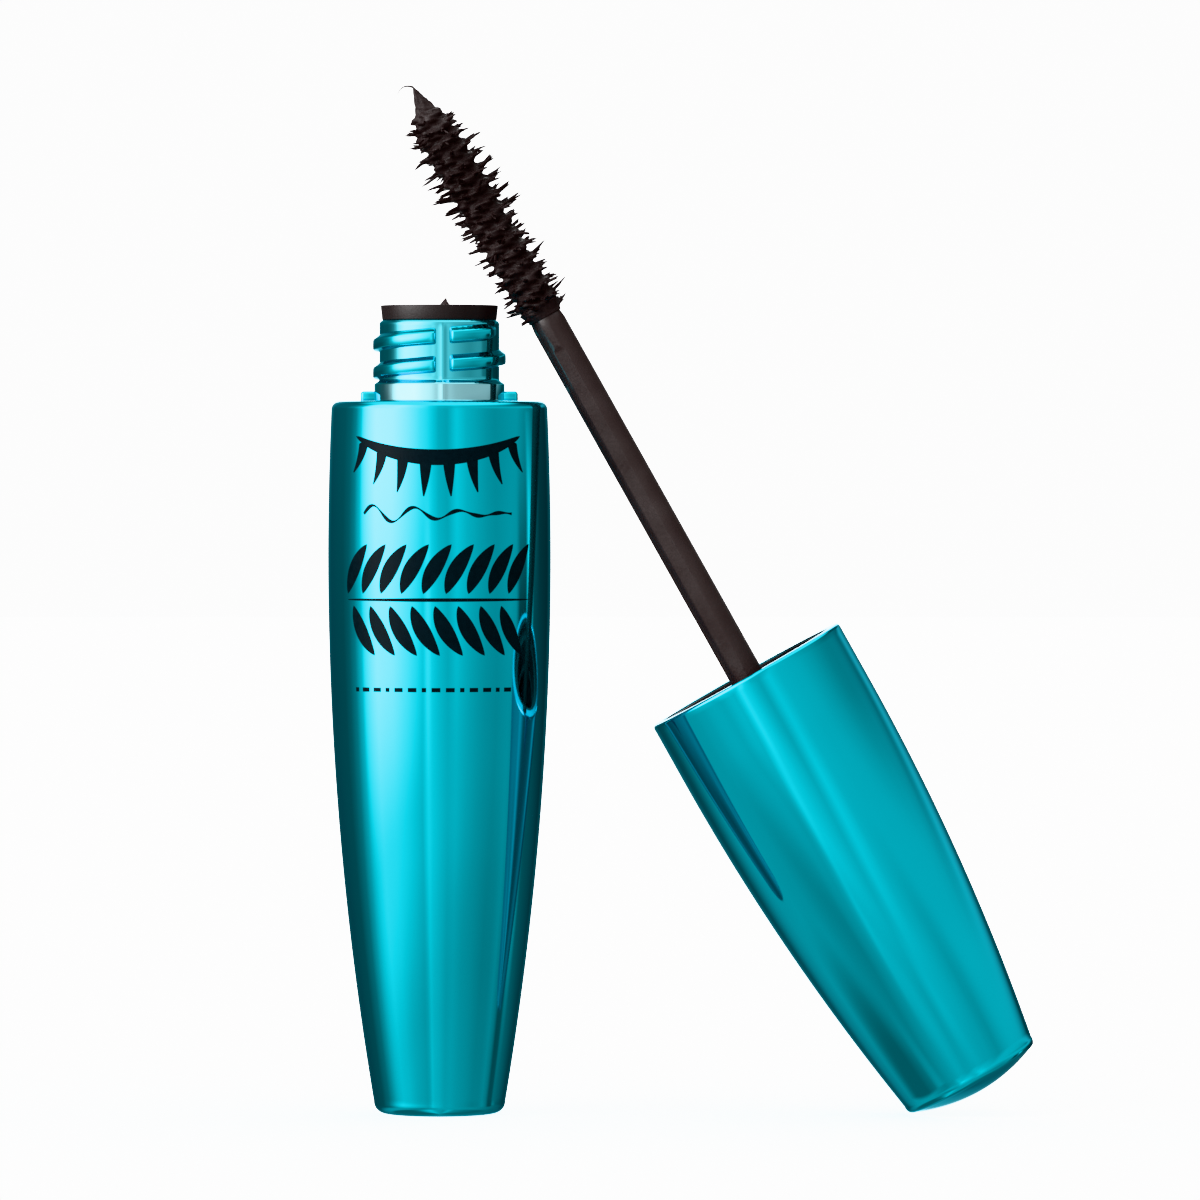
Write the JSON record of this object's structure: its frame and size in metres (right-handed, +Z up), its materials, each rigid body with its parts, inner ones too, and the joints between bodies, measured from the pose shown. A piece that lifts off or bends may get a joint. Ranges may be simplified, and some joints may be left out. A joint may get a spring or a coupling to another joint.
{
  "type": "mascara tube",
  "caption": "Open mascara tube: a slim tapered bottle with screw neck and wiper stands upright, and the capped brush wand leans on its mouth.",
  "frame": {"origin": "centre of the bottle's flat base, on the surface that the object stands on", "axes": "+Z up along the bottle's axis; +X towards the wand's cap; Y across, the front is -Y"},
  "size_m": [0.0705, 0.0222, 0.1015],
  "materials": {
    "metallised_bottle": "teal vacuum-metallised, mirror gloss under clear lacquer",
    "metallised_cap": "teal vacuum-metallised, mirror gloss under clear lacquer",
    "wiper_plastic": "satin black moulded",
    "liner_plastic": "satin black moulded",
    "rod_plastic": "satin black-brown moulded",
    "brush_wire_steel": "bare twisted wire",
    "bristle_nylon": "black nylon coated with product",
    "mascara_paste": "black paste, half dried, low sheen"
  },
  "bodies": {
    "bottle": {"bottle": "metallised_bottle", "wiper": "wiper_plastic", "mascara_formula": "mascara_paste", "rim_residue": "mascara_paste"},
    "wand": {"cap_shell": "metallised_cap", "cap_liner": "liner_plastic", "applicator_rod": "rod_plastic", "brush_wire": "brush_wire_steel", "bristle_row_a": "bristle_nylon", "bristle_row_b": "bristle_nylon", "tip_clump": "mascara_paste", "rod_end_residue": "mascara_paste"}
  },
  "joints": [
    {"name": "wand_lift", "type": "slide", "parent": "bottle", "child": "wand", "axis": [0, 0, 1], "range_m": [0, 0.09]}
  ]
}
